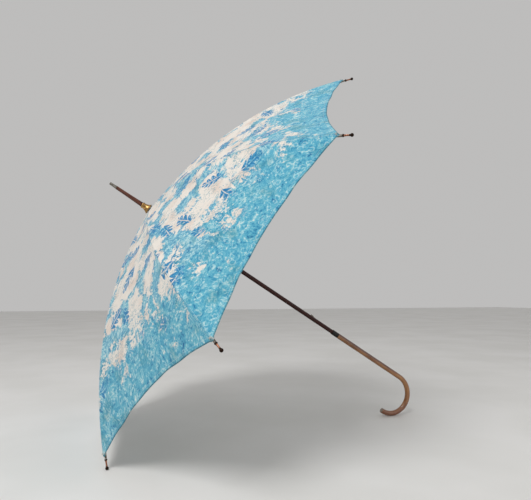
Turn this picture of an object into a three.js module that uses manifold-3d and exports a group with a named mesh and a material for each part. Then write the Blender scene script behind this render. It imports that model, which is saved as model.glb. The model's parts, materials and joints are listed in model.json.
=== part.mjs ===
// A stick umbrella with eight ribs, lying open on a flat surface.
//
// Millimetres. The umbrella is built upright, with +Z along the stick towards the ferrule and
// z = 0 in the plane of the rib tips. The whole of it is then tipped over until it rests on two
// rib tips and on the crook of the handle, and moved so that the origin is under its middle.

import * as THREE from 'three';
import { mergeVertices } from 'three/addons/utils/BufferGeometryUtils.js';
import Module from 'manifold-3d';

const wasm = await Module();
wasm.setup();

// ---- driving dimensions -------------------------------------------------------------------

const RIB_COUNT = 8;
const RIM_RADIUS = 480; // axis to the rib tips
const DOME_HEIGHT = 190; // rim plane to the cloth at the stick
const SLOPE_TERMS = [0.2, 0.4, 0.4]; // linear, square and cube shares of the dome's fall

const CLOTH_THICKNESS = 1;
const CLOTH_INNER_RADIUS = 8.5;
const CLOTH_EDGE = 0.968; // share of the rim radius where a corner of the cloth ends
const HEM_SCALLOP = 0.055; // how far the hem curves in between two ribs, as a share
const CLOTH_DIP = 7; // how far the cloth dips between two ribs at the rim
const CLOTH_GAP = 0.36;

const RIB_WIDTH = 3.2;
const RIB_HEIGHT = 3.2;
const RIB_WALL = 0.7;
const RIB_DROP = 4.8; // cloth to the middle of the rib
const RIB_START = 16;
const RIB_END = 466;
const EYE_RADIUS = 2.1;
const EYE_HOLE = 1.1;
const BLADE_THICKNESS = 1.6;
const BLADE_OVERLAP = 8; // how far the eye's blade reaches into the channel
const HINGE_RADIUS = 9; // axis to the rib and stretcher eyes
const HINGE_HEIGHT = 182;

const JOINT_RADIUS = 215; // axis to the rivet that joins a rib and its stretcher
const RIVET_RADIUS = 0.8;
const RIVET_HOLE = 1.15;
const RIVET_HEAD_RADIUS = 1.55;
const RIVET_HEAD_EDGE = 0.5;
const FORK_CHEEK = 0.8;
const FORK_GAP = 0.4;
const FORK_LENGTH = 15; // long enough for the fork to pass the rib when it is folded back
const FORK_BRIDGE = 2;
const STRETCHER_HEIGHT = 2.8;
const STRETCHER_BLADE = 24;
const STRETCHER_OVERLAP = 4; // how far the blade reaches into the bar
const STRETCHER_EYE = 1.7;
const STRETCHER_EYE_HOLE = 0.7;

const TIP_LENGTH = 15; // rib end to the middle of the bead
const TIP_COLLAR_RADIUS = 2.6;
const TIP_COLLAR_LENGTH = 2.4;
const TIP_NECK_RADIUS = 1.4;
const BEAD_RADIUS = 2.9;

const SHAFT_RADIUS = 4.8;
const SHAFT_END = -337;
const TAPER_START = 212; // where the stick starts to narrow towards the ferrule
const FERRULE_RADIUS = 3.3;
const FERRULE_CAP_LENGTH = 17;
const FERRULE_END = 289;
const FERRULE_CAP_WALL = 0.5;
const FERRULE_CAP_LIP = 0.4; // how far the lip stands out
const FERRULE_LIP_HEIGHT = 1.5;
const FERRULE_CAP_FLOOR = 4;
const FERRULE_CAP_CHAMFER = 1;
const TENON_RADIUS = 2.5; // the end of the stick inside the cap
const TENON_TAPER = 0.2;
const TENON_SETBACK = 5;

const CUP_LIFT = 1.5; // top of the cloth to the rim of the cup
const CUP_RIM_RADIUS = 11.6;
const CUP_RIM_THICKNESS = 0.8;
const CUP_WALL = 0.9;
const CUP_NECK_RADIUS = 6;
const CUP_NECK_HEIGHT = 14.5;
const CUP_LIP_RADIUS = 6.7;
const CUP_HEIGHT = 17.5;
const CUP_FLARE = 2.2; // the power that the flare follows
const CUP_LIP_START = 0.5;
const CUP_LIP_BEVEL = 0.8;
const CUP_LIP_BEVEL_HEIGHT = 1;
const CUP_GRIP_START = 0.6; // share of the neck's height where the cup starts to fit the stick
const WASHER_RADIUS = 10;
const WASHER_TOP = 1.2; // above the cloth

const NOTCH_BELOW = 3.5; // the slotted disc below and above the rib eyes
const NOTCH_ABOVE = 3.2;
const NOTCH_CAP = 1.6;
const WIRE_RADIUS = 0.5;
const WIRE_GROOVE = 0.9;
const PIN_RADIUS = 0.9;
const PIN_LENGTH = 12;
const PIN_DROP = 7; // rib eyes to the pin
const PIN_BOSS = 3;

const RUNNER_RADIUS = 6.8;
const RUNNER_BORE = 5.2;
const RUNNER_LENGTH = 42; // below the stretcher eyes
const RUNNER_BEAD = 2;
const RUNNER_BEAD_RISE = 0.2;
const FLANGE_RADIUS = 12.5;
const FLANGE_BELOW = 4;
const FLANGE_ABOVE = 3;
const SLOT_WIDTH = 2.5;
const WINDOW_TOP = 25; // the runner's window for the lower catch, below the eyes
const WINDOW_BOTTOM = 38;

const CATCH_BACK = 0.6; // axis to the back of the catch
const CATCH_REACH = 7.4; // axis to its nose
const CATCH_RAMP_REACH = 4.4;
const CATCH_FOOT_REACH = 3.8;
const CATCH_NOSE = 3;
const CATCH_LENGTH = 24;
const CATCH_RAMP = 12; // top of the catch to the start of its ramp
const CATCH_THICKNESS = 1.6;
const CATCH_SLOT_WIDTH = 2.3;
const CATCH_SLOT_DEPTH = 3;

const HANDLE_RADIUS = 6.1;
const CROOK_START = -534;
const CROOK_RADIUS = 46.5;
const CROOK_TAIL = 4; // straight end after the half circle
const COLLAR_RADIUS = 6;
const COLLAR_LENGTH = 17;
const COLLAR_CHAMFER = 0.6;

const CLOSED_TIP_RADIUS = 14; // axis to the beads when the umbrella is closed
const CLEARANCE = 0.3;
const ROUND = 16; // sides of a turned piece
const ROD_SIDES = 8;
const WIRE_SIDES = 6;
const WIRE_STEPS = 40;
const RIB_STEPS = 12;
const CLOTH_COLUMNS = 6;
const CLOTH_ROWS = 8;

const RIB_STEP = (2 * Math.PI) / RIB_COUNT;
const FIRST_RIB_ANGLE = Math.PI - RIB_STEP / 2;

// ---- materials ----------------------------------------------------------------------------

function finish(color, roughness, metalness) {
  return new THREE.MeshStandardMaterial({ color, roughness, metalness });
}

const printedCotton = finish(0x8fc0d4, 0.9, 0);
const darkWood = finish(0x4a2a1c, 0.45, 0);
const cane = finish(0xb5793f, 0.35, 0);
const brass = finish(0xb08d4a, 0.35, 0.9);
const darkBrass = finish(0x5d4428, 0.45, 0.8);
const steel = finish(0x77736c, 0.4, 0.9);
const blackLacquer = finish(0x1d1a18, 0.4, 0);
const felt = finish(0xb9b5a8, 0.95, 0);

// ---- the dome -----------------------------------------------------------------------------

// Height of the cloth over a rib, at a distance from the stick.
function domeHeight(radius) {
  const s = radius / RIM_RADIUS;
  const [linear, square, cube] = SLOPE_TERMS;
  return DOME_HEIGHT * (1 - linear * s - square * s ** 2 - cube * s ** 3);
}

function ribPoint(radius) {
  return new THREE.Vector3(radius, 0, domeHeight(radius) - RIB_DROP);
}

const hinge = new THREE.Vector3(HINGE_RADIUS, 0, HINGE_HEIGHT);
const joint = ribPoint(JOINT_RADIUS);
const armLength = joint.distanceTo(hinge);
const openAngle = Math.asin((hinge.z - joint.z) / armLength);
const runnerHeight = 2 * joint.z - hinge.z;
const runnerBottom = runnerHeight - RUNNER_LENGTH;

const ribEnd = ribPoint(RIB_END);
const tipSlope = Math.atan2(ribPoint(RIB_END - 1).z - ribEnd.z, 1);
const bead = new THREE.Vector3(
  ribEnd.x + TIP_LENGTH * Math.cos(tipSlope),
  0,
  ribEnd.z - TIP_LENGTH * Math.sin(tipSlope),
);

// Closing turns each rib down by this angle, and slides the runner this far down the stick.
const beadAngle = Math.atan2(hinge.z - bead.z, bead.x - hinge.x);
const foldAngle =
  Math.acos((CLOSED_TIP_RADIUS - HINGE_RADIUS) / bead.distanceTo(hinge)) - beadAngle;
const runnerTravel = 2 * armLength * (Math.sin(openAngle + foldAngle) - Math.sin(openAngle));

// ---- solids -------------------------------------------------------------------------------

function toSolid(geometry) {
  const bare = geometry.clone();
  bare.deleteAttribute('normal');
  bare.deleteAttribute('uv');
  const merged = mergeVertices(bare, 1e-4);
  return new wasm.Manifold(
    new wasm.Mesh({
      numProp: 3,
      vertProperties: Float32Array.from(merged.attributes.position.array),
      triVerts: Uint32Array.from(merged.index.array),
    }),
  );
}

function toGeometry(solid) {
  const mesh = solid.getMesh();
  const geometry = new THREE.BufferGeometry();
  geometry.setAttribute('position', new THREE.BufferAttribute(mesh.vertProperties, 3));
  geometry.setIndex(new THREE.BufferAttribute(mesh.triVerts, 1));
  geometry.computeVertexNormals();
  return geometry;
}

function joined(geometries) {
  return geometries.map(toSolid).reduce((whole, next) => whole.add(next));
}

// A turned piece about Z. The outline's points are (radius, z) and run upwards on the outside.
function turned(points, sides = ROUND) {
  const outline = points.map(([radius, z]) => new THREE.Vector2(radius, z));
  return new THREE.LatheGeometry(outline, sides).rotateX(Math.PI / 2);
}

// A ring about Z between two radii and two heights.
function ring(inner, outer, low, high, sides = ROUND) {
  return turned([[inner, low], [outer, low], [outer, high], [inner, high], [inner, low]], sides);
}

function rod(radius, length, sides) {
  return new THREE.CylinderGeometry(radius, radius, length, sides);
}

function boxBetween(low, high) {
  const size = high.map((value, axis) => value - low[axis]);
  const middle = high.map((value, axis) => (value + low[axis]) / 2);
  return new THREE.BoxGeometry(...size).translate(...middle);
}

// A plate standing in the XZ plane, centred on y = 0, with rounded ends round two points.
function link(from, to, halfHeight, thickness) {
  const length = Math.hypot(to.x - from.x, to.z - from.z);
  const outline = new THREE.Shape();
  outline.absarc(0, 0, halfHeight, Math.PI / 2, (3 * Math.PI) / 2, false);
  outline.absarc(length, 0, halfHeight, -Math.PI / 2, Math.PI / 2, false);
  const plate = new THREE.ExtrudeGeometry(outline, {
    depth: thickness,
    bevelEnabled: false,
    curveSegments: 3,
  });
  const turn = Math.atan2(to.z - from.z, to.x - from.x);
  return plate
    .translate(0, 0, -thickness / 2)
    .rotateX(Math.PI / 2)
    .rotateY(-turn)
    .translate(from.x, 0, from.z);
}

// A slot for each rib or stretcher, cut from a hinge disc.
function withSlots(disc, innerRadius, low, high) {
  let cut = disc;
  for (let k = 0; k < RIB_COUNT; k += 1) {
    const slot = boxBetween(
      [innerRadius, -SLOT_WIDTH / 2, low],
      [FLANGE_RADIUS + 2, SLOT_WIDTH / 2, high],
    ).rotateZ(FIRST_RIB_ANGLE + k * RIB_STEP);
    cut = cut.subtract(toSolid(slot));
  }
  return cut;
}

// ---- stick, ferrule and handle ------------------------------------------------------------

// A catch spring sits in a slot in the +X side of the stick. Its flat top holds the runner.
function catchGeometry({ top, ramp, foot }) {
  const outline = new THREE.Shape();
  outline.moveTo(CATCH_BACK, top);
  outline.lineTo(CATCH_BACK, foot);
  outline.lineTo(CATCH_FOOT_REACH, foot);
  outline.lineTo(CATCH_RAMP_REACH, ramp);
  outline.lineTo(CATCH_REACH, top - CATCH_NOSE);
  outline.lineTo(CATCH_REACH, top);
  const plate = new THREE.ExtrudeGeometry(outline, {
    depth: CATCH_THICKNESS,
    bevelEnabled: false,
  });
  return plate.translate(0, 0, -CATCH_THICKNESS / 2).rotateX(Math.PI / 2);
}

function catchBelow(height) {
  return { top: height, ramp: height - CATCH_RAMP, foot: height - CATCH_LENGTH };
}

const closedWindowTop = runnerHeight - runnerTravel - WINDOW_TOP;
const upperCatch = catchBelow(runnerBottom - CLEARANCE);
const lowerCatch = catchBelow(closedWindowTop - 3 * CLEARANCE);

function catchSlot({ top, foot }) {
  return boxBetween(
    [-CATCH_SLOT_DEPTH, -CATCH_SLOT_WIDTH / 2, foot - CLEARANCE],
    [2 * SHAFT_RADIUS, CATCH_SLOT_WIDTH / 2, top + CLEARANCE],
  );
}

const pinHeight = HINGE_HEIGHT - PIN_DROP;

function shaftGeometry() {
  const capStart = FERRULE_END - FERRULE_CAP_LENGTH;
  const stick = toSolid(
    turned([
      [0, SHAFT_END],
      [SHAFT_RADIUS, SHAFT_END],
      [SHAFT_RADIUS, TAPER_START],
      [FERRULE_RADIUS + CLEARANCE, capStart],
      [TENON_RADIUS, capStart],
      [TENON_RADIUS - TENON_TAPER, FERRULE_END - TENON_SETBACK],
      [0, FERRULE_END - TENON_SETBACK],
    ]),
  );
  const pinHole = rod(PIN_RADIUS + CLEARANCE, 4 * SHAFT_RADIUS, ROD_SIDES).translate(0, 0, pinHeight);
  return toGeometry(
    stick
      .subtract(toSolid(catchSlot(upperCatch)))
      .subtract(toSolid(catchSlot(lowerCatch)))
      .subtract(toSolid(pinHole)),
  );
}

function ferruleCapGeometry() {
  const low = FERRULE_END - FERRULE_CAP_LENGTH + CLEARANCE;
  const bore = FERRULE_RADIUS - FERRULE_CAP_WALL;
  const lip = FERRULE_RADIUS + FERRULE_CAP_LIP;
  const floor = FERRULE_END - FERRULE_CAP_FLOOR;
  return turned([
    [bore, low],
    [lip, low],
    [lip, low + FERRULE_LIP_HEIGHT],
    [FERRULE_RADIUS, low + FERRULE_LIP_HEIGHT + FERRULE_CAP_CHAMFER],
    [FERRULE_RADIUS - FERRULE_CAP_LIP, FERRULE_END - FERRULE_CAP_CHAMFER],
    [FERRULE_RADIUS - FERRULE_CAP_CHAMFER, FERRULE_END],
    [0, FERRULE_END],
    [0, floor],
    [bore - TENON_TAPER, floor],
    [bore, low],
  ]);
}

// The brass cup flares towards the cloth and grips the stick with its neck. Its height runs
// from 0 at the rim to 1 at the neck.
function crownCupGeometry() {
  const bore = SHAFT_RADIUS + CLEARANCE;
  const rim = DOME_HEIGHT + CUP_LIFT;
  const neck = rim + CUP_NECK_HEIGHT;
  const top = rim + CUP_HEIGHT;
  const flare = (height, inset, base) => [
    CUP_NECK_RADIUS - inset + (CUP_RIM_RADIUS - CUP_NECK_RADIUS) * (1 - height) ** CUP_FLARE,
    base + (neck - base) * height,
  ];
  const outside = [0, 0.25, 0.5, 0.75, 1].map((h) => flare(h, 0, rim + CUP_RIM_THICKNESS));
  const inside = [0.5, 0.25, 0].map((h) => flare(h, CUP_WALL, rim));
  return turned([
    flare(0, CUP_WALL, rim),
    [CUP_RIM_RADIUS, rim],
    ...outside,
    [CUP_LIP_RADIUS, neck + CUP_LIP_START],
    [CUP_LIP_RADIUS, top - CUP_LIP_BEVEL_HEIGHT],
    [CUP_LIP_RADIUS - CUP_LIP_BEVEL, top],
    [bore, top],
    [bore, rim + CUP_GRIP_START * CUP_NECK_HEIGHT],
    ...inside,
  ]);
}

function crownWasherGeometry() {
  return ring(
    SHAFT_RADIUS + CLEARANCE,
    WASHER_RADIUS,
    DOME_HEIGHT + CLEARANCE,
    DOME_HEIGHT + WASHER_TOP,
  );
}

// The top notch is a hub with a slot for each rib and a groove for the wire in the rib eyes.
function notchGeometry() {
  const bore = SHAFT_RADIUS + CLEARANCE;
  const core = HINGE_RADIUS - EYE_RADIUS - CLEARANCE;
  const low = HINGE_HEIGHT - NOTCH_BELOW;
  const high = HINGE_HEIGHT + NOTCH_ABOVE;
  const disc = withSlots(
    toSolid(ring(bore, FLANGE_RADIUS, low, high)),
    core,
    low - CLEARANCE,
    high + CLEARANCE,
  );
  const groove = ring(
    HINGE_RADIUS - WIRE_GROOVE,
    HINGE_RADIUS + WIRE_GROOVE,
    HINGE_HEIGHT - WIRE_GROOVE,
    HINGE_HEIGHT + WIRE_GROOVE,
  );
  const hub = toSolid(ring(bore, core, pinHeight - PIN_BOSS, high + NOTCH_CAP));
  const cap = toSolid(ring(bore, FLANGE_RADIUS, high, high + NOTCH_CAP));
  const pinHole = rod(PIN_RADIUS + CLEARANCE, 4 * core, ROD_SIDES).translate(0, 0, pinHeight);
  return toGeometry(disc.add(hub).add(cap).subtract(toSolid(groove)).subtract(toSolid(pinHole)));
}

function wireRing() {
  return new THREE.TorusGeometry(HINGE_RADIUS, WIRE_RADIUS, WIRE_SIDES, WIRE_STEPS);
}

// The crook is a half circle that curls towards -X and ends in a short straight piece.
function handleGeometry() {
  const arcPoints = 24;
  const arc = [];
  for (let i = 0; i <= arcPoints; i += 1) {
    const turn = (Math.PI * i) / arcPoints;
    const x = CROOK_RADIUS * (Math.cos(turn) - 1);
    arc.push(new THREE.Vector3(x, 0, CROOK_START - CROOK_RADIUS * Math.sin(turn)));
  }
  const start = new THREE.Vector3(0, 0, SHAFT_END - CLEARANCE);
  const end = arc[arcPoints].clone().setZ(CROOK_START + CROOK_TAIL);
  const path = new THREE.CurvePath();
  path.add(new THREE.LineCurve3(start, arc[0]));
  path.add(new THREE.CatmullRomCurve3(arc));
  path.add(new THREE.LineCurve3(arc[arcPoints], end));
  const section = new THREE.Shape();
  section.absarc(0, 0, HANDLE_RADIUS, 0, 2 * Math.PI, false);
  return new THREE.ExtrudeGeometry(section, {
    steps: 36,
    curveSegments: 6,
    bevelEnabled: false,
    extrudePath: path,
  });
}

function collarGeometry() {
  const bore = SHAFT_RADIUS + CLEARANCE;
  const top = SHAFT_END + COLLAR_LENGTH;
  return turned([
    [bore, SHAFT_END],
    [COLLAR_RADIUS, SHAFT_END],
    [COLLAR_RADIUS, top - COLLAR_CHAMFER],
    [COLLAR_RADIUS - COLLAR_CHAMFER, top],
    [bore, top],
    [bore, SHAFT_END],
  ]);
}

// ---- runner -------------------------------------------------------------------------------

function runnerGeometry() {
  const low = runnerHeight - FLANGE_BELOW;
  const high = runnerHeight + FLANGE_ABOVE;
  const foot = runnerBottom + RUNNER_BEAD;
  const flange = withSlots(
    toSolid(ring(RUNNER_BORE, FLANGE_RADIUS, low, high)),
    RUNNER_RADIUS,
    low - CLEARANCE,
    high + CLEARANCE,
  );
  const tube = toSolid(ring(RUNNER_BORE, RUNNER_RADIUS, foot, high + FLANGE_BELOW));
  const bead = toSolid(ring(RUNNER_BORE, RUNNER_RADIUS + RUNNER_BEAD_RISE, runnerBottom, foot));
  const window = boxBetween(
    [0, -CATCH_SLOT_WIDTH / 2 - CLEARANCE, runnerHeight - WINDOW_BOTTOM],
    [2 * RUNNER_RADIUS, CATCH_SLOT_WIDTH / 2 + CLEARANCE, runnerHeight - WINDOW_TOP],
  );
  return toGeometry(flange.add(tube).add(bead).subtract(toSolid(window)));
}

// ---- ribs, stretchers, rivets and tips, drawn along +X ------------------------------------

// A rib is a channel, open downwards, with a flat eye at the top notch.
function ribGeometry() {
  const half = RIB_WIDTH / 2;
  const top = -RIB_HEIGHT / 2;
  const bottom = RIB_HEIGHT / 2;
  const channel = new THREE.Shape([
    new THREE.Vector2(-half, top),
    new THREE.Vector2(half, top),
    new THREE.Vector2(half, bottom),
    new THREE.Vector2(half - RIB_WALL, bottom),
    new THREE.Vector2(half - RIB_WALL, top + RIB_WALL),
    new THREE.Vector2(RIB_WALL - half, top + RIB_WALL),
    new THREE.Vector2(RIB_WALL - half, bottom),
    new THREE.Vector2(-half, bottom),
  ]);
  const points = [];
  for (let i = 0; i <= RIB_STEPS; i += 1) {
    points.push(ribPoint(RIB_START + ((RIB_END - RIB_START) * i) / RIB_STEPS));
  }
  const bar = new THREE.ExtrudeGeometry(channel, {
    steps: RIB_STEPS,
    bevelEnabled: false,
    extrudePath: new THREE.CatmullRomCurve3(points),
  });
  const blade = link(hinge, ribPoint(RIB_START + BLADE_OVERLAP), EYE_RADIUS, BLADE_THICKNESS);
  const eye = rod(EYE_HOLE, 2 * RIB_WIDTH, ROD_SIDES).translate(hinge.x, 0, hinge.z);
  const rivetHole = rod(RIVET_HOLE, 2 * RIB_WIDTH, ROD_SIDES).translate(joint.x, 0, joint.z);
  return toGeometry(
    joined([bar, blade]).subtract(toSolid(eye)).subtract(toSolid(rivetHole)),
  );
}

// A stretcher has a fork that straddles the rib, a bar, and a flat eye at the runner.
function stretcherGeometry() {
  const end = new THREE.Vector3(HINGE_RADIUS, 0, runnerHeight);
  const along = (distance) => joint.clone().lerp(end, distance / armLength);
  const crotch = along(FORK_LENGTH);
  const cheekOffset = RIB_WIDTH / 2 + FORK_GAP + FORK_CHEEK / 2;
  const cheeks = [-1, 1].map((side) =>
    link(joint, crotch, EYE_RADIUS, FORK_CHEEK).translate(0, side * cheekOffset, 0),
  );
  const bridge = link(
    crotch,
    along(FORK_LENGTH + FORK_BRIDGE),
    RIB_HEIGHT / 2,
    2 * cheekOffset + FORK_CHEEK,
  );
  const bladeStart = armLength - STRETCHER_BLADE;
  const barEnd = along(bladeStart + STRETCHER_OVERLAP);
  const bar = link(crotch, barEnd, STRETCHER_HEIGHT / 2, STRETCHER_HEIGHT);
  const blade = link(along(bladeStart), end, STRETCHER_EYE, BLADE_THICKNESS);
  const eye = rod(STRETCHER_EYE_HOLE, 2 * RIB_WIDTH, ROD_SIDES).translate(end.x, 0, end.z);
  const rivetHole = rod(RIVET_HOLE, 4 * RIB_WIDTH, ROD_SIDES).translate(joint.x, 0, joint.z);
  return toGeometry(
    joined([...cheeks, bridge, bar, blade]).subtract(toSolid(eye)).subtract(toSolid(rivetHole)),
  );
}

function rivetGeometry() {
  const seat = RIB_WIDTH / 2 + FORK_GAP + FORK_CHEEK + CLEARANCE;
  const edge = seat + RIVET_HEAD_EDGE;
  const crown = edge + CLEARANCE;
  const outline = [
    [0, -crown],
    [RIVET_HEAD_RADIUS, -edge],
    [RIVET_HEAD_RADIUS, -seat],
    [RIVET_RADIUS, -seat],
    [RIVET_RADIUS, seat],
    [RIVET_HEAD_RADIUS, seat],
    [RIVET_HEAD_RADIUS, edge],
    [0, crown],
  ];
  return turned(outline, ROD_SIDES).rotateX(Math.PI / 2).translate(joint.x, 0, joint.z);
}

// The tip caps the end of a rib: a collar against the cloth, a thin neck and a round bead.
function tipGeometry() {
  const outline = [
    [0, CLEARANCE],
    [TIP_COLLAR_RADIUS - CLEARANCE, CLEARANCE],
    [TIP_COLLAR_RADIUS, 1],
    [TIP_COLLAR_RADIUS - CLEARANCE, TIP_COLLAR_LENGTH],
    [TIP_NECK_RADIUS + CLEARANCE, TIP_COLLAR_LENGTH + 1],
  ];
  const arcSteps = 5;
  const arcStart = Math.asin(TIP_NECK_RADIUS / BEAD_RADIUS);
  for (let i = 0; i < arcSteps; i += 1) {
    const turn = arcStart + ((Math.PI - arcStart) * i) / arcSteps;
    outline.push([BEAD_RADIUS * Math.sin(turn), TIP_LENGTH - BEAD_RADIUS * Math.cos(turn)]);
  }
  outline.push([0, TIP_LENGTH + BEAD_RADIUS]);
  return turned(outline, ROD_SIDES)
    .rotateY(Math.PI / 2 + tipSlope)
    .translate(ribEnd.x, 0, ribEnd.z);
}

// ---- cloth --------------------------------------------------------------------------------

// A point of the cloth over one rib. across runs from -0.5 to 0.5, halfway to each next rib,
// and out runs from 0 at the stick to 1 at the hem.
function clothPoint(across, out) {
  const share = Math.abs(across);
  const bow = 4 * share * (1 - share);
  const innerShare = CLOTH_INNER_RADIUS / RIM_RADIUS;
  const s = innerShare + (CLOTH_EDGE * (1 - HEM_SCALLOP * bow) - innerShare) * out;
  const radius = s * RIM_RADIUS;
  const x = radius * (1 - share * (1 - Math.cos(RIB_STEP)));
  const y = Math.sign(across) * share * (radius * Math.sin(RIB_STEP) - CLOTH_GAP);
  return [x, y, domeHeight(radius) - CLOTH_DIP * s * bow];
}

// One panel of cloth: a closed shell of even thickness over a grid of surface points.
function clothGeometry() {
  const positions = [];
  for (const drop of [0, CLOTH_THICKNESS]) {
    for (let j = 0; j <= CLOTH_ROWS; j += 1) {
      for (let i = 0; i <= CLOTH_COLUMNS; i += 1) {
        const [x, y, z] = clothPoint(i / CLOTH_COLUMNS - 0.5, j / CLOTH_ROWS);
        positions.push(x, y, z - drop);
      }
    }
  }
  const layer = (CLOTH_COLUMNS + 1) * (CLOTH_ROWS + 1);
  const top = (i, j) => j * (CLOTH_COLUMNS + 1) + i;
  const under = (i, j) => layer + top(i, j);
  const index = [];
  const quad = (a, b, c, d) => index.push(a, b, c, a, c, d);
  for (let j = 0; j < CLOTH_ROWS; j += 1) {
    for (let i = 0; i < CLOTH_COLUMNS; i += 1) {
      quad(top(i, j), top(i, j + 1), top(i + 1, j + 1), top(i + 1, j));
      quad(under(i, j), under(i + 1, j), under(i + 1, j + 1), under(i, j + 1));
    }
    quad(top(0, j), under(0, j), under(0, j + 1), top(0, j + 1));
    quad(
      top(CLOTH_COLUMNS, j),
      top(CLOTH_COLUMNS, j + 1),
      under(CLOTH_COLUMNS, j + 1),
      under(CLOTH_COLUMNS, j),
    );
  }
  for (let i = 0; i < CLOTH_COLUMNS; i += 1) {
    quad(top(i, 0), top(i + 1, 0), under(i + 1, 0), under(i, 0));
    quad(top(i, CLOTH_ROWS), under(i, CLOTH_ROWS), under(i + 1, CLOTH_ROWS), top(i + 1, CLOTH_ROWS));
  }
  const geometry = new THREE.BufferGeometry();
  geometry.setAttribute('position', new THREE.Float32BufferAttribute(positions, 3));
  geometry.setIndex(index);
  geometry.computeVertexNormals();
  return geometry;
}

// ---- assembly -----------------------------------------------------------------------------

const umbrella = new THREE.Group();

function addTo(group, name, geometry, material) {
  const mesh = new THREE.Mesh(geometry, material);
  mesh.name = name;
  group.add(mesh);
  return mesh;
}

addTo(umbrella, 'shaft', shaftGeometry(), darkWood);
addTo(umbrella, 'ferrule_cap', ferruleCapGeometry(), steel);
addTo(umbrella, 'crown_cup', crownCupGeometry(), brass);
addTo(umbrella, 'crown_washer', crownWasherGeometry(), felt);
addTo(umbrella, 'top_notch', notchGeometry(), brass);
addTo(umbrella, 'notch_wire', wireRing(), steel).position.z = HINGE_HEIGHT;
addTo(umbrella, 'notch_pin', rod(PIN_RADIUS, PIN_LENGTH, ROD_SIDES), steel).position.z = pinHeight;
addTo(umbrella, 'runner', runnerGeometry(), brass);
addTo(umbrella, 'upper_catch', catchGeometry(upperCatch), steel);
addTo(umbrella, 'lower_catch', catchGeometry(lowerCatch), steel);
addTo(umbrella, 'handle_collar', collarGeometry(), blackLacquer);
addTo(umbrella, 'handle', handleGeometry(), cane);

for (let k = 0; k < RIB_COUNT; k += 1) {
  const spoke = new THREE.Group();
  spoke.rotation.z = FIRST_RIB_ANGLE + k * RIB_STEP;
  const label = k + 1;
  addTo(spoke, `rib_${label}`, ribGeometry(), steel);
  addTo(spoke, `rib_tip_${label}`, tipGeometry(), darkBrass);
  addTo(spoke, `stretcher_${label}`, stretcherGeometry(), steel);
  addTo(spoke, `rivet_${label}`, rivetGeometry(), steel);
  addTo(spoke, `canopy_${label}`, clothGeometry(), printedCotton);
  umbrella.add(spoke);
}

// ---- resting place ------------------------------------------------------------------------

// The tilt at which the two lowest beads and the outside of the crook are at one height.
function restingElevation() {
  const level = bead.x * Math.cos(RIB_STEP / 2) - CROOK_RADIUS;
  const drop = bead.z - CROOK_START;
  const difference = CROOK_RADIUS + HANDLE_RADIUS - BEAD_RADIUS;
  return Math.acos(difference / Math.hypot(level, drop)) - Math.atan2(drop, level);
}

umbrella.rotation.y = restingElevation() - Math.PI / 2;

const group = new THREE.Group();
group.add(umbrella);
group.updateMatrixWorld(true);
const reach = new THREE.Box3().setFromObject(group, true);
group.position.set(-(reach.min.x + reach.max.x) / 2, -(reach.min.y + reach.max.y) / 2, -reach.min.z);

export default group;
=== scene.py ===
"""A stick umbrella with a printed cotton canopy, lying open on two rib tips and its crook."""

import json

import bmesh
import bpy
import numpy as np
from functools import partialmethod
from math import asin, atan2, cos, exp, pi, radians, sin, sqrt
from mathutils import Matrix, Vector


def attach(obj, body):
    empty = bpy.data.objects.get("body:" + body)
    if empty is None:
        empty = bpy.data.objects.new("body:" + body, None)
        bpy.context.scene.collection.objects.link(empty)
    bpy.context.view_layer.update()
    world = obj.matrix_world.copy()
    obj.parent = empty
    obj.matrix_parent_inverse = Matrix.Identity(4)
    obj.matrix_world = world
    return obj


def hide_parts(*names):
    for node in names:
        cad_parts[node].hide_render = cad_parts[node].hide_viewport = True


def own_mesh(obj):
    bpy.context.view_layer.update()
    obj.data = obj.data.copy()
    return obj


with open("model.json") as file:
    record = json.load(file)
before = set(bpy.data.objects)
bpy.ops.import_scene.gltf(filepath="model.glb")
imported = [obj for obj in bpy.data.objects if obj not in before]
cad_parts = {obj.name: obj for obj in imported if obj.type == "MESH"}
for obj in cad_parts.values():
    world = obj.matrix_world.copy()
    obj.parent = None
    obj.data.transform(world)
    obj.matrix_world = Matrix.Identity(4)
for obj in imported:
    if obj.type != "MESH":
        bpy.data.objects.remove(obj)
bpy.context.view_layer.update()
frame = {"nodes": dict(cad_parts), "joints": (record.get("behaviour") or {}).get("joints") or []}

# ---- sizes, in metres ----

RIB_COUNT = 8
RIM_RADIUS = 0.480  # axis to the rib tips
DOME_HEIGHT = 0.190  # rim plane to the cloth at the stick
SLOPE_TERMS = (0.2, 0.4, 0.4)  # linear, square and cube shares of the dome's fall

CLOTH_INNER_RADIUS = 0.0085
CLOTH_EDGE = 0.968  # share of the rim radius where a corner of the cloth ends
HEM_SCALLOP = 0.055
CLOTH_DIP = 0.007  # how far the cloth dips between two ribs at the rim
CLOTH_THICKNESS = 0.0005
SEAM_HALF = 0.0042  # half the width of the seam allowance under a seam
SEAM_THICKNESS = 0.0016
SEAM_RISE = 0.00025
SEAM_GROOVE = 0.00045
HEM_WIDTH = 0.0065
HEM_THICKNESS = 0.0009
HEM_ROLL = 0.0003  # how far the last edge of the hem turns down
RIB_SLANT = 1.06  # length along the cloth for each metre out from the stick
HEM_SLANT = 1.05

RIB_WIDTH = 0.0032
RIB_WALL = 0.0007
RIB_DROP = 0.0048  # cloth to the middle of the rib
RIB_START = 0.016
RIB_END = 0.466
EYE_RADIUS = 0.0021
BLADE_THICKNESS = 0.0016
BLADE_OVERLAP = 0.008  # how far the blade with the eye reaches into the channel
CHANNEL_ROUND = 0.0005
RIB_STEPS = 64
HINGE_RADIUS = 0.009
HINGE_HEIGHT = 0.182

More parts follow.
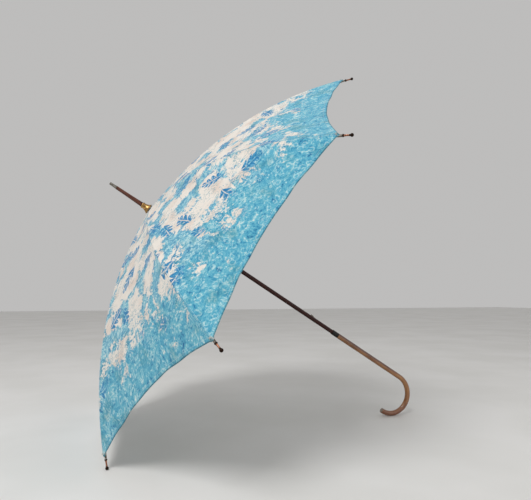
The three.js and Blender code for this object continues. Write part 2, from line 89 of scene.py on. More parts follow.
JOINT_RADIUS = 0.215  # axis to the rivet between a rib and its stretcher
FORK_LENGTH = 0.015
FORK_CHEEK = 0.0008
FORK_GAP = 0.0004
FORK_BRIDGE = 0.002
FORK_BRIDGE_RADIUS = 0.0015
STRETCHER_WIDTH = 0.0028
STRETCHER_BLADE = 0.024
STRETCHER_OVERLAP = 0.004
STRETCHER_WALL = 0.0006
STRETCHER_EYE = 0.0017
STRETCHER_STEPS = 12
RIVET_RADIUS = 0.0008
RIVET_HEAD_RADIUS = 0.0016
RIVET_HEAD_HEIGHT = 0.0007
RIVET_HEAD_LIFT = 0.0002

THREAD_RADIUS = 0.00028
THREAD_LIFT = 0.0017  # the middle of a loop above the middle of the rib
THREAD_HEIGHT = 0.0038
THREAD_WIDTH = 0.0022
THREAD_STEPS = 28
THREAD_SIDES = 8
THREAD_PITCH = 2.2 * THREAD_RADIUS
THREAD_TIES = ((0.150, 2), (0.325, 2), (0.4585, 4))  # radius of each tie and its turns

TIP_LENGTH = 0.015
TIP_NECK_RADIUS = 0.0014
BEAD_RADIUS = 0.0029

SHAFT_RADIUS = 0.0048
SHAFT_END = -0.337
TAPER_START = 0.212
FERRULE_RADIUS = 0.0033
FERRULE_CAP_LENGTH = 0.017
FERRULE_END = 0.289
FERRULE_CAP_WALL = 0.0005
FERRULE_CAP_FLOOR = 0.004
TENON_LENGTH = 0.010
TENON_RADIUS = 0.0027
TENON_TAPER = 0.0002

CUP_RIM = DOME_HEIGHT + 0.0015
CUP_RIM_RADIUS = 0.0116
CUP_NECK_RADIUS = 0.006
CUP_NECK_HEIGHT = 0.0145
CUP_HEIGHT = 0.0175
CUP_WALL = 0.0009
CUP_RIM_ROUND = 0.0004
CUP_FLARE = 2.2  # the power that the flare follows
CUP_GRIP_START = 0.6  # share of the neck's height where the cup starts to fit the stick
CUP_LIP_RADIUS = 0.0061
CUP_LIP_MIDDLE = 0.0011  # above the neck
CUP_LIP_DEPTH = 0.0006
CUP_LIP_HALF = 0.0010

FLANGE_RADIUS = 0.0125
SLOT_WIDTH = 0.0025
RUNNER_RADIUS = 0.0068
RUNNER_BORE = 0.0052
RUNNER_LENGTH = 0.042
RUNNER_TOP = 0.007  # above the stretchers' eyes
FLANGE_BELOW = 0.004
FLANGE_ABOVE = 0.003
WINDOW_TOP = 0.025  # the runner's window for the lower catch, below the stretchers' eyes
WINDOW_BOTTOM = 0.038
WINDOW_HALF = 0.00145
WINDOW_REACH = (0.001, 0.012)  # distances from the axis
NOTCH_BELOW = 0.0035
NOTCH_ABOVE = 0.0032
NOTCH_CAP = 0.0016
NOTCH_BOSS = 0.010
CATCH_SLOT_HALF = 0.00115
CATCH_SLOT_REACH = 0.003  # past the stick's axis

HANDLE_RADIUS = 0.0061
CROOK_START = -0.534
CROOK_RADIUS = 0.0465
CROOK_TAIL = 0.004
COLLAR_RADIUS = 0.006
COLLAR_LENGTH = 0.017
COLLAR_LINE = 0.00015  # depth of the sunk middle between the collar's two edges
CANE_FULLNESS = 0.985  # mean share of the handle's radius
CANE_WAVES = ((0.016, 55, 0), (0.010, 140, 1))  # share of the radius, radians in a metre, start
CANE_END_ROUND = 0.0016
CANE_END_SHARE = 0.78
CANE_HEAD_SHARE = 0.94
CANE_HEAD_GROWTH = 50  # shares of the radius gained in a metre

GAP = 0.0003
STICK_BORE = SHAFT_RADIUS + GAP

# ---- the umbrella's own axes, from the joints ----

joints = {joint["name"]: joint for joint in frame["joints"]}
RIBS = range(1, RIB_COUNT + 1)
RIB_STEP = 2 * pi / RIB_COUNT

up = -Vector(joints["runner_slide"]["axis"]).normalized()
across = Vector((0, 1, 0))
side = across.cross(up)
hinges = [Vector(joints[f"rib_hinge_{k}"]["pos_m"]) for k in RIBS]
centre = sum(hinges, Vector()) / RIB_COUNT - up * HINGE_HEIGHT
LOCAL = Matrix.Translation(centre) @ Matrix((side, across, up)).transposed().to_4x4()
TO_LOCAL = LOCAL.inverted()


def spoke(k):
    """The matrix that takes a rib drawn along +X to rib k."""
    hinge = TO_LOCAL @ hinges[k - 1]
    return LOCAL @ Matrix.Rotation(atan2(hinge.y, hinge.x), 4, "Z")


# ---- materials ----


def srgb(red, green, blue):
    """A colour from 0 to 255 as the linear colour of a socket."""
    def linear(c):
        c /= 255
        return c / 12.92 if c <= 0.04045 else ((c + 0.055) / 1.055) ** 2.4

    return (linear(red), linear(green), linear(blue), 1)


class Graph:
    """A material's nodes, with short calls for the kinds used here."""

    def __init__(self, name, roughness, metallic=0.0, **constants):
        self.material = bpy.data.materials.new(name)
        self.material.use_nodes = True
        self.tree = self.material.node_tree
        self.tree.nodes.clear()
        self.shader = self.add("ShaderNodeBsdfPrincipled")
        self.shader.inputs["Roughness"].default_value = roughness
        self.shader.inputs["Metallic"].default_value = metallic
        for socket, value in constants.items():
            self.shader.inputs[socket.replace("_", " ")].default_value = value
        output = self.add("ShaderNodeOutputMaterial")
        self.tree.links.new(self.shader.outputs[0], output.inputs["Surface"])

    def add(self, kind, inputs=(), **settings):
        node = self.tree.nodes.new(kind)
        for name, value in settings.items():
            setattr(node, name, value)
        for name, value in dict(inputs).items():
            self.put(node.inputs[name], value)
        return node

    def put(self, socket, value):
        if isinstance(value, bpy.types.NodeSocket):
            self.tree.links.new(value, socket)
        else:
            socket.default_value = value

    def math(self, operation, a, b=0.0):
        return self.add("ShaderNodeMath", {0: a, 1: b}, operation=operation).outputs[0]

    plus = partialmethod(math, "ADD")
    minus = partialmethod(math, "SUBTRACT")
    times = partialmethod(math, "MULTIPLY")
    sine = partialmethod(math, "SINE")

    def line(self, value, place, outer, inner):
        """1 where the value is within inner of the place, falling to 0 at outer."""
        return self.smooth(self.math("ABSOLUTE", self.minus(value, place)), outer, inner)

    def vector(self, operation, a, b=(0, 0, 0)):
        node = self.add("ShaderNodeVectorMath", {0: a}, operation=operation)
        self.put(node.inputs["Scale" if operation == "SCALE" else 1], b)
        return node.outputs["Value" if operation == "LENGTH" else "Vector"]

    def stretch(self, vector, x, y, z):
        return self.vector("MULTIPLY", vector, (x, y, z))

    def split(self, vector):
        return self.add("ShaderNodeSeparateXYZ", {"Vector": vector}).outputs

    def smooth(self, value, low, high, out_low=0.0, out_high=1.0):
        inputs = {"Value": value, "From Min": low, "From Max": high}
        inputs.update({"To Min": out_low, "To Max": out_high})
        node = self.add("ShaderNodeMapRange", inputs, interpolation_type="SMOOTHSTEP")
        return node.outputs["Result"]

    def mix(self, factor, a, b, blend="MIX"):
        node = self.add("ShaderNodeMix", data_type="RGBA", blend_type=blend)
        self.put(node.inputs[0], factor)
        self.put(node.inputs[6], a)
        self.put(node.inputs[7], b)
        return node.outputs[2]

    def ramp(self, value, stops):
        node = self.add("ShaderNodeValToRGB", {"Fac": value})
        elements = node.color_ramp.elements
        while len(elements) < len(stops):
            elements.new(1)
        for element, (place, colour) in zip(elements, stops):
            element.position = place
            element.color = colour
        return node.outputs["Color"]

    def noise(self, vector, scale, detail=2.0, roughness=0.5, distortion=0.0, output="Fac"):
        inputs = {"Vector": vector, "Scale": scale, "Detail": detail}
        inputs.update({"Roughness": roughness, "Distortion": distortion})
        return self.add("ShaderNodeTexNoise", inputs).outputs[output]

    def voronoi(self, vector, scale, randomness=1.0):
        inputs = {"Vector": vector, "Scale": scale, "Randomness": randomness}
        return self.add("ShaderNodeTexVoronoi", inputs).outputs

    def finish(self, colour, roughness=None, height=None, distance=0.0002, strength=1.0):
        """Joins the colour, the roughness and a bump, its distance in metres, to the shader."""
        self.put(self.shader.inputs["Base Color"], colour)
        if roughness is not None:
            self.put(self.shader.inputs["Roughness"], roughness)
        if height is not None:
            inputs = {"Height": height, "Distance": distance, "Strength": strength}
            self.put(self.shader.inputs["Normal"], self.add("ShaderNodeBump", inputs).outputs[0])
        return self.material


CREAM = srgb(226, 219, 210)
CREAM_SHADE = srgb(216, 200, 188)
PALE_INK = srgb(178, 212, 216)
LIGHT_INK = srgb(116, 184, 200)
MIDDLE_INK = srgb(64, 150, 182)
DEEP_INK = srgb(24, 98, 146)
TEAL_INK = srgb(58, 128, 140)

# The print's motifs, in motifs for each metre of cloth, and the width of its band at the hem.
SWAY_SCALE = 14
PATCH_SCALE = 23
SCROLL_SCALE = 52
STROKE_SCALE = 120
SPECK_SCALE = 290
CURL_SCALE = 78
ISLAND_SCALE = 25
SPRIG_SCALE = 12
BAND_OUTER = 0.102
BAND_INNER = 0.070

SEAM_STITCHES = 0.0026  # seam to its line of stitches
HEM_STITCHES = 0.0052
STITCH_RATE = 2200  # radians of the row of stitches in a metre
YARN_RATE = 9000

METAL_CLOUDS = 240  # blotches in a metre of old metal


def sprigs(g, place, scale, sway, strokes):
    """Leafy sprigs, one to a cell, and the open ground round each of them."""
    bent = g.vector("ADD", place, g.vector("SCALE", sway, 0.012))
    cell = g.voronoi(bent, scale, 0.75)
    step = g.vector("SUBTRACT", g.vector("SCALE", bent, scale), g.vector("SCALE", cell["Position"], scale))
    turn = g.times(g.split(cell["Color"])[0], 6.283)
    x, y, _ = g.split(step)
    cosine = g.math("COSINE", turn)
    sine = g.sine(turn)
    a = g.plus(g.times(x, cosine), g.times(y, sine))
    b = g.minus(g.times(y, cosine), g.times(x, sine))
    b = g.plus(b, g.times(g.sine(g.times(a, 5.0)), 0.06))
    spread = g.math("ABSOLUTE", b)
    slanted = g.minus(a, g.times(spread, 0.8))
    leaves = g.math("ABSOLUTE", g.sine(g.times(slanted, 21.0)))
    taper = g.minus(1.0, g.times(g.times(a, a), 8.5))
    reach = g.times(g.times(taper, 0.19), g.math("POWER", leaves, 0.55))
    leaf = g.smooth(g.minus(reach, spread), 0.0, 0.025)
    vein = g.smooth(spread, 0.006, 0.016)
    rough_edge = g.times(g.minus(strokes, 0.5), 0.9)
    ground = g.smooth(g.plus(g.vector("LENGTH", step), rough_edge), 0.50, 0.30)
    hatched = g.smooth(strokes, 0.64, 0.54, 0.45, 1.0)
    return g.times(g.times(leaf, vein), hatched), ground


def printed_cotton(name, ink_strength=1.0):
    """Plain weave cotton with a blue print: scrolls at the hem, sprigs and foliage above them."""
    g = Graph(name, 0.86, Sheen_Weight=0.18, Sheen_Roughness=0.45, Specular_IOR_Level=0.25)
    place = g.add("ShaderNodeUVMap", uv_map="Gore").outputs[0]
    seam, hem, _ = g.split(g.add("ShaderNodeUVMap", uv_map="Edge").outputs[0])
    ink = g.split(g.add("ShaderNodeAttribute", attribute_name="ink").outputs["Vector"])[0]

    sway = g.vector("SUBTRACT", g.noise(place, SWAY_SCALE, 2, output="Color"), (0.5, 0.5, 0.5))
    flow = g.vector("ADD", place, g.vector("SCALE", sway, 0.03))
    patches = g.noise(place, PATCH_SCALE, 4, 0.6, 0.5)
    scrolls = g.noise(flow, SCROLL_SCALE, 3, 0.55, 1.8)
    strokes = g.noise(flow, STROKE_SCALE, 3, 0.6, 1.6)
    specks = g.noise(flow, SPECK_SCALE, 2, 0.6, 0.8)
    tone = g.plus(g.times(scrolls, 0.36), g.times(strokes, 0.40))
    tone = g.plus(tone, g.times(specks, 0.24))

    # The hem's band of scrolls has an uneven inner edge.
    uneven = g.times(g.minus(patches, 0.5), 0.36)
    frayed = g.times(g.minus(tone, 0.5), 0.25)
    band = g.smooth(g.plus(g.plus(hem, uneven), frayed), BAND_OUTER, BAND_INNER)
    band_colour = g.ramp(tone, [
        (0.36, DEEP_INK), (0.43, MIDDLE_INK), (0.50, srgb(92, 170, 194)),
        (0.55, LIGHT_INK), (0.60, PALE_INK), (0.68, CREAM),
    ])

    curls = g.voronoi(flow, CURL_SCALE)["Distance"]
    curl_line = g.smooth(g.math("ABSOLUTE", g.minus(curls, 0.33)), 0.11, 0.04, 0.0, 0.55)
    band_colour = g.mix(g.times(curl_line, g.smooth(strokes, 0.44, 0.52)), band_colour, PALE_INK)

    # Above it the ground is cream, with clouds of foliage between the sprigs.
    sprig, ground = sprigs(g, place, SPRIG_SCALE, sway, strokes)
    crown = g.smooth(hem, 0.30, 0.42)
    swayed = g.vector("ADD", place, g.vector("SCALE", sway, 0.025))
    islands = g.voronoi(swayed, ISLAND_SCALE)["Distance"]
    cover = g.plus(g.times(g.minus(patches, 0.5), 1.7), ink)
    cover = g.plus(cover, g.times(g.minus(islands, 0.42), 1.35))
    cover = g.minus(cover, g.times(crown, 0.12))
    cover = g.minus(cover, g.times(ground, 0.30))
    foliage_field = g.minus(tone, g.times(cover, 0.5))
    foliage = g.smooth(foliage_field, 0.50, 0.45)
    foliage_colour = g.ramp(tone, [
        (0.38, srgb(26, 112, 158)), (0.45, srgb(56, 148, 184)),
        (0.51, srgb(108, 180, 200)), (0.58, PALE_INK),
    ])
    blush = g.noise(place, 26, 2)
    cream = g.mix(g.smooth(blush, 0.45, 0.7), CREAM, CREAM_SHADE)
    sprig_colour = g.mix(g.smooth(strokes, 0.40, 0.62), srgb(22, 112, 164), srgb(52, 148, 192))
    twig = g.times(g.line(scrolls, 0.5, 0.030, 0.010), g.smooth(patches, 0.44, 0.52, 0.0, 0.62))
    cream = g.mix(twig, cream, srgb(88, 152, 168))
    colour = g.mix(g.times(foliage, 0.92), cream, foliage_colour)
    colour = g.mix(band, colour, band_colour)
    colour = g.mix(g.times(sprig, g.smooth(band, 0.8, 0.2)), colour, sprig_colour)
    tint = g.smooth(g.noise(place, 30, 2), 0.50, 0.70, 0.0, 0.38)
    printed = g.smooth(g.plus(band, foliage), 0.2, 0.8)
    colour = g.mix(g.times(tint, printed), colour, TEAL_INK)
    colour = g.mix(1.0 - ink_strength, colour, CREAM)

    # The hem is turned over and stitched, and the seams are stitched on both sides.
    # Painted shade: a thin dark teal line along the hem's last edge stands for the shade on the rolled
    # edge.
    painted_hem_shade = g.smooth(hem, 0.0016, 0.0004)
    colour = g.mix(g.times(painted_hem_shade, 0.55), colour, srgb(34, 80, 94))
    u, v, _ = g.split(place)
    seam_run = g.smooth(g.sine(g.times(v, STITCH_RATE)), -0.2, 0.3)
    seam_line = g.line(seam, SEAM_STITCHES, 0.0006, 0.0002)
    hem_run = g.smooth(g.sine(g.times(u, STITCH_RATE)), -0.2, 0.3)
    hem_line = g.line(hem, HEM_STITCHES, 0.0006, 0.0002)
    stitches = g.math("MAXIMUM", g.times(seam_run, seam_line), g.times(hem_run, hem_line))
    groove = g.smooth(seam, 0.0007, 0.0001)
    colour = g.mix(g.times(stitches, 0.5), colour, srgb(214, 222, 222))
    # Painted shade: the seam's groove is darkened towards grey for the shade in it. The same mask also
    # sinks the groove in the bump below.
    colour = g.mix(g.times(groove, 0.25), colour, srgb(96, 112, 116))

    # The weave's yarns, with slubs where a yarn is thicker.
    weave = g.times(g.sine(g.times(u, YARN_RATE)), g.sine(g.times(v, YARN_RATE)))
    slubs = g.noise(g.stretch(place, 40, 900, 1), 1, 2)
    height = g.plus(g.times(weave, 0.25), g.times(slubs, 0.6))
    height = g.plus(height, g.times(stitches, 1.6))
    height = g.minus(height, g.times(groove, 2.2))
    thread_shade = g.smooth(slubs, 0.3, 0.7, 0.0, 0.10)
    colour = g.mix(thread_shade, colour, srgb(150, 158, 160), "MULTIPLY")
    roughness = g.smooth(slubs, 0.3, 0.7, 0.80, 0.93)
    return g.finish(colour, roughness, height, 0.00022, 0.8)


def grain_place(g, coordinates="grain"):
    """Where a point lies: on its piece as that was drawn, or on a CAD solid in the frame."""
    if coordinates == "object":
        return g.add("ShaderNodeTexCoord").outputs["Object"]
    return g.add("ShaderNodeAttribute", attribute_name="grain").outputs["Vector"]


def dark_wood():
    """Dark stained wood under varnish, with fine grain along the stick."""
    g = Graph("dark_wood", 0.42, Coat_Weight=0.12, Coat_Roughness=0.14, Specular_IOR_Level=0.22)
    place = grain_place(g)
    stretched = g.stretch(place, 1, 1, 0.035)
    grain = g.noise(stretched, 900, 4, 0.62, 0.5)
    streaks = g.noise(stretched, 260, 2)
    pores = g.noise(g.stretch(place, 1, 1, 0.02), 2600, 2)
    tone = g.plus(g.times(grain, 0.6), g.times(streaks, 0.4))
    colour = g.ramp(tone, [(0.32, srgb(24, 7, 4)), (0.52, srgb(54, 16, 9)), (0.68, srgb(86, 32, 17))])
    colour = g.mix(g.smooth(pores, 0.62, 0.72, 0.0, 0.6), colour, srgb(20, 9, 6))
    # Painted light: the tapered end above 0.205 m is painted lighter, in patches that follow the grain,
    # for the light that falls on the ferrule.
    ferrule_zone = g.smooth(g.split(place)[2], 0.205, 0.215)
    painted_ferrule_light = g.times(ferrule_zone, g.smooth(grain, 0.35, 0.6))
    colour = g.mix(g.times(painted_ferrule_light, 0.5), colour, srgb(128, 84, 66))
    roughness = g.smooth(g.noise(place, 180, 3), 0.3, 0.7, 0.30, 0.55)
    return g.finish(colour, roughness, grain, 0.00012, 0.5)


def cane():
    """Bent cane with a clear varnish: long fibres, darker on the upper side and at the bend."""
    g = Graph("cane", 0.34, Coat_Weight=0.75, Coat_Roughness=0.12)
    place = grain_place(g)
    fibres = g.noise(g.stretch(place, 1, 1, 0.03), 1500, 4, 0.6, 0.3)
    clouds = g.noise(g.stretch(place, 1, 1, 0.3), 90, 3)
    tone = g.plus(g.times(fibres, 0.45), g.times(clouds, 0.55))
    colour = g.ramp(tone, [
        (0.32, srgb(86, 44, 20)), (0.47, srgb(136, 86, 42)),
        (0.58, srgb(168, 116, 62)), (0.70, srgb(196, 148, 88)),
    ])
    x, _, length = g.split(place)
    stain = g.smooth(g.plus(x, g.times(clouds, 0.004)), 0.0010, 0.0050)
    stain = g.times(stain, g.smooth(length, 0.215, 0.150, 0.25, 1.0))
    colour = g.mix(g.times(stain, 0.85), colour, srgb(74, 30, 17))
    colour = g.mix(g.smooth(length, 0.250, 0.300, 0.0, 0.6), colour, srgb(112, 56, 32))
    scorch = g.smooth(g.noise(g.stretch(place, 1, 1, 0.5), 40, 2), 0.56, 0.72)
    colour = g.mix(g.times(scorch, 0.55), colour, srgb(112, 52, 26))
    flecks = g.smooth(g.noise(g.stretch(place, 1, 1, 0.06), 2800, 1), 0.66, 0.74)
    colour = g.mix(g.times(flecks, 0.6), colour, srgb(70, 34, 18))
    colour = g.mix(g.smooth(length, 0.3450, 0.3466, 0.0, 0.8), colour, srgb(128, 116, 100))
    roughness = g.smooth(clouds, 0.3, 0.7, 0.24, 0.44)
    return g.finish(colour, roughness, fibres, 0.00010, 0.4)


def aged_metal(name, bright, dull, spots, rough, coordinates="grain"):
    """Old metal: bright where it is handled, dull and spotted elsewhere."""
    g = Graph(name, rough, 1.0)
    place = grain_place(g, coordinates)
    clouds = g.noise(place, METAL_CLOUDS, 4, 0.6, 0.6)
    turned = g.noise(g.stretch(place, 1, 1, 9), 420, 2)
    pits = g.noise(place, METAL_CLOUDS * 9, 3, 0.65)
    colour = g.mix(g.smooth(clouds, 0.40, 0.62), bright, dull)
    colour = g.mix(g.smooth(pits, 0.58, 0.70, 0.0, 0.75), colour, spots)
    dullness = g.plus(clouds, g.times(pits, 0.5))
    roughness = g.smooth(dullness, 0.5, 0.95, rough - 0.12, rough + 0.2)
    height = g.minus(g.times(turned, 0.5), pits)
    return g.finish(colour, roughness, height, 0.00006, 0.6)


def thread():
    """Twisted cotton thread."""
    g = Graph("thread", 0.85, Sheen_Weight=0.2)
    x, y, length = g.split(grain_place(g))
    angle = g.math("ARCTAN2", y, x)
    twist = g.sine(g.plus(g.times(length, 5200), g.times(angle, 2)))
    fuzz = g.noise(grain_place(g), 3000, 2)
    colour = g.mix(g.smooth(twist, -0.6, 0.6), srgb(150, 158, 156), srgb(214, 212, 202))
    colour = g.mix(g.smooth(fuzz, 0.5, 0.7, 0.0, 0.3), colour, srgb(120, 140, 146))
    return g.finish(colour, None, twist, 0.00008, 0.7)


def tip_metal():
    """A turned brass tip: collar and bead blackened, neck rubbed to a coppery brown."""
    g = Graph("tip_metal", 0.36, 1.0)
    place = grain_place(g)
    clouds = g.noise(place, 420, 3, 0.6, 0.5)
    pits = g.noise(place, 2600, 3, 0.65)
    length = g.plus(g.split(place)[2], g.times(g.minus(clouds, 0.5), 0.002))
    neck = g.times(g.smooth(length, 0.0024, 0.0032), g.smooth(length, 0.0122, 0.0108))
    rubbed = g.mix(g.smooth(clouds, 0.40, 0.62), srgb(176, 122, 96), srgb(112, 74, 56))
    colour = g.mix(neck, srgb(46, 34, 28), rubbed)
    colour = g.mix(g.smooth(pits, 0.56, 0.70, 0.0, 0.8), colour, srgb(22, 17, 15))
    roughness = g.smooth(g.plus(clouds, g.times(pits, 0.5)), 0.5, 0.95, 0.24, 0.56)
    return g.finish(colour, roughness, g.minus(clouds, pits), 0.00006, 0.6)


def black_lacquer():
    """Black lacquer with fine scratches and dust."""
    g = Graph("black_lacquer", 0.36, Coat_Weight=0.1, Coat_Roughness=0.2, Specular_IOR_Level=0.3)
    place = grain_place(g)
    scratches = g.noise(g.stretch(place, 1, 1, 0.08), 2200, 2)
    dust = g.noise(place, 700, 3)
    colour = g.mix(g.smooth(dust, 0.5, 0.75, 0.0, 0.3), srgb(12, 10, 8), srgb(48, 38, 30))
    roughness = g.smooth(scratches, 0.4, 0.7, 0.26, 0.52)
    return g.finish(colour, roughness, scratches, 0.00004, 0.5)


def felt():
    """A felt washer: matted fibres."""
    g = Graph("felt", 0.95, Sheen_Weight=0.3)
    place = grain_place(g, "object")
    fibres = g.noise(place, 2400, 4, 0.7, 1.5)
    colour = g.ramp(fibres, [(0.35, srgb(120, 116, 106)), (0.65, srgb(186, 180, 166))])
    return g.finish(colour, None, fibres, 0.0003, 0.8)


BRASS = (srgb(200, 160, 100), srgb(134, 98, 56), srgb(62, 44, 28))
STEEL = (srgb(150, 146, 138), srgb(92, 86, 78), srgb(58, 40, 28))

materials = {
    "canopy_cloth": printed_cotton("printed_cotton"),
    "cloth_reverse": printed_cotton("printed_cotton_reverse", 0.55),
    "dark_wood": dark_wood(),
    "cane": cane(),
    "brass": aged_metal("brass", *BRASS, 0.30),
    "dark_brass": tip_metal(),
    "steel": aged_metal("steel", *STEEL, 0.38),
    "black_lacquer": black_lacquer(),
    "thread": thread(),
    "felt": felt(),
    "steel_object": aged_metal("steel_object", *STEEL, 0.38, "object"),
}

# ---- meshes ----


SMOOTH_ANGLE = radians(35)
WELD = 2e-6
AXIS_RADIUS = 1e-7  # stands for a point on the axis, until the weld makes it one


class Shape:
    """Points and faces drawn in the umbrella's own axes, with the grain's coordinates."""

    def __init__(self):
        self.points = []
        self.grain = []
        self.faces = []

    def add(self, points, faces, grain=None):
        first = len(self.points)
        self.points += [tuple(p) for p in points]
        self.grain += [tuple(p) for p in (points if grain is None else grain)]
        self.faces += [tuple(first + i for i in face) for face in faces]
        return self

    def rings(self, rings, closed=False, grain=None):
        """A skin over rings of as many points each, capped at both ends or closed on itself."""
        count = len(rings[0])
        faces = []
        for j in range(len(rings) if closed else len(rings) - 1):
            low, high = j * count, (j + 1) % len(rings) * count
            for i in range(count):
                n = (i + 1) % count
                faces.append((low + i, low + n, high + n, high + i))
        if not closed:
            faces.append(tuple(reversed(range(count))))
            faces.append(tuple(range((len(rings) - 1) * count, len(rings) * count)))
        flat = [p for ring in rings for p in ring]
        return self.add(flat, faces, grain and [p for ring in grain for p in ring])

    def turned(self, outline, sides=48):
        """A turned piece about Z. The outline's points are (radius, z), up the outside; it
        starts and ends on the axis or comes back to its start."""
        closed = outline[0] == outline[-1]
        turns = [2 * pi * i / sides for i in range(sides)]
        rings = []
        for radius, z in outline[:-1] if closed else outline:
            r = max(radius, AXIS_RADIUS)
            rings.append([(r * cos(t), r * sin(t), z) for t in turns])
        return self.rings(rings, closed)

    def swept(self, section, path, outs):
        """A section of (across, outward) points carried along a path in the XZ plane."""
        right = Vector((0, 1, 0))
        rings = [[point + right * a + out * b for a, b in section] for point, out in zip(path, outs)]
        return self.rings(rings)

    def plate(self, outline, half, middle=0.0):
        """An outline of (x, z) points made into a plate about y = middle."""
        low = [(x, middle - half, z) for x, z in outline]
        high = [(x, middle + half, z) for x, z in outline]
        return self.rings([high, low])


def add_object(name, data):
    item = bpy.data.objects.new(name, data)
    bpy.context.scene.collection.objects.link(item)
    return item


def paint(mesh, material):
    mesh.materials.clear()
    mesh.materials.append(material)


def shade(mesh, angle=SMOOTH_ANGLE):
    """Smooth shading, with edges sharper than the angle left sharp."""
    mesh.shade_smooth()
    mesh.set_sharp_from_angle(angle=angle)


def build(name, shape, matrix, body, slot, replaced=()):
    """A piece with a shape's mesh, which rides on a body and replaces CAD nodes."""
    mesh = bpy.data.meshes.new(name)
    mesh.from_pydata(shape.points, [], shape.faces)
    grain = mesh.attributes.new("grain", "FLOAT_VECTOR", "POINT")
    grain.data.foreach_set("vector", np.array(shape.grain, np.float32).ravel())
    piece = add_object(name, mesh)
    clean(mesh)
    mesh.transform(matrix)
    mesh.materials.append(materials[slot])
    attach(piece, body)
    if replaced:
        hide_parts(*replaced)
    return piece


def clean(mesh):
    """Welds a mesh, turns its faces outwards and shades it smooth between its sharp edges."""
    work = bmesh.new()
    work.from_mesh(mesh)
    bmesh.ops.remove_doubles(work, verts=work.verts, dist=WELD)
    bmesh.ops.recalc_face_normals(work, faces=work.faces)
    work.to_mesh(mesh)
    work.free()
    shade(mesh)


def cut(piece, cutters):
    """Cuts closed shapes out of a piece that is drawn in the umbrella's own axes, and then
    moves it to its place."""
    for shape in cutters:
        mesh = bpy.data.meshes.new("cutter")
        mesh.from_pydata(shape.points, [], shape.faces)
        cutter = add_object("cutter", mesh)
        clean(mesh)
        modifier = piece.modifiers.new("cut", "BOOLEAN")
        modifier.operation = "DIFFERENCE"
        modifier.solver = "EXACT"
        modifier.object = cutter
        depsgraph = bpy.context.evaluated_depsgraph_get()
        result = bpy.data.meshes.new_from_object(piece.evaluated_get(depsgraph))
        piece.modifiers.clear()
        piece.data = result
        bpy.data.objects.remove(cutter)
    paint(piece.data, piece.data.materials[0])
    shade(piece.data)
    piece.data.transform(LOCAL)


def box_shape(low, high, turn=0.0):
    """A box between two corners, turned about Z."""
    rotation = Matrix.Rotation(turn, 3, "Z")
    xs, ys, zs = zip(low, high)
    corners = [rotation @ Vector((x, y, z)) for x in xs for y in ys for z in zs]
    faces = [(0, 1, 3, 2), (4, 6, 7, 5), (0, 4, 5, 1), (2, 3, 7, 6), (0, 2, 6, 4), (1, 5, 7, 3)]
    return Shape().add(corners, faces)


def arc(radius, start, end, count, middle):
    turns = [start + (end - start) * i / count for i in range(count + 1)]
    return [(middle[0] + radius * cos(t), middle[1] + radius * sin(t)) for t in turns]


# ---- the dome ----


def dome_height(radius):
    s = radius / RIM_RADIUS
    linear, square, cube = SLOPE_TERMS
    return DOME_HEIGHT * (1 - linear * s - square * s**2 - cube * s**3)


def rib_point(radius):
    return Vector((radius, 0, dome_height(radius) - RIB_DROP))


def slope(radius):
    step = 0.001
    return atan2(rib_point(radius - step).z - rib_point(radius + step).z, 2 * step)


# ---- canopy ----

# How densely each gore is printed away from the hem. The first lies between ribs 1 and 2.
GORE_INK = (-0.16, -0.12, -0.08, -0.20, -0.12, -0.06, -0.14, -0.08)
ROWS = 120
GORE_COLUMNS = 16
SEAM_STEPS = (0.0007, 0.0016, 0.0026, 0.0036, SEAM_HALF, 0.0058)
HEM_STEPS = (0.0095, HEM_WIDTH + 0.001, HEM_WIDTH, 0.0040, 0.0018, 0.0006)
GORE_OFFSET = (1.37, 0.71)  # from one gore's place in the print to the next one's
HEM_SHARP_ANGLE = radians(60)


def panel_columns():
    """Columns of one half panel: (distance from the seam, share of what is left)."""
    return [(0.0, 0.0)] + [(d, 0.0) for d in SEAM_STEPS] + [
        (SEAM_STEPS[-1], (i + 1) / GORE_COLUMNS) for i in range(GORE_COLUMNS)
    ]


def cloth_rows(bow):
    """Distances from the axis down one line of the cloth, from the stick to the hem."""
    edge = CLOTH_EDGE * (1 - HEM_SCALLOP * bow) * RIM_RADIUS
    last = edge - HEM_STEPS[0]
    plain = [CLOTH_INNER_RADIUS + (last - CLOTH_INNER_RADIUS) * j / ROWS for j in range(ROWS)]
    return plain + [edge - step for step in HEM_STEPS] + [edge]


def wrinkle(radius, from_seam, share, k):
    """Small puckers along the seams and soft tension folds from the tips, in metres."""
    s = radius / RIM_RADIUS
    pucker = 0.00022 * exp(-from_seam / 0.010) * sin(radius * 560 + 1.7 * k)
    pull = 0.0011 * s**3 * sin(2 * pi * share) ** 2 * sin(share * 30 + 2.1 * k)
    sag = 0.0006 * sin(radius * 31 + k) * sin(pi * share) ** 2
    return (pucker + (pull + sag) * min(1.0, from_seam / 0.02)) * min(1.0, radius / 0.08)


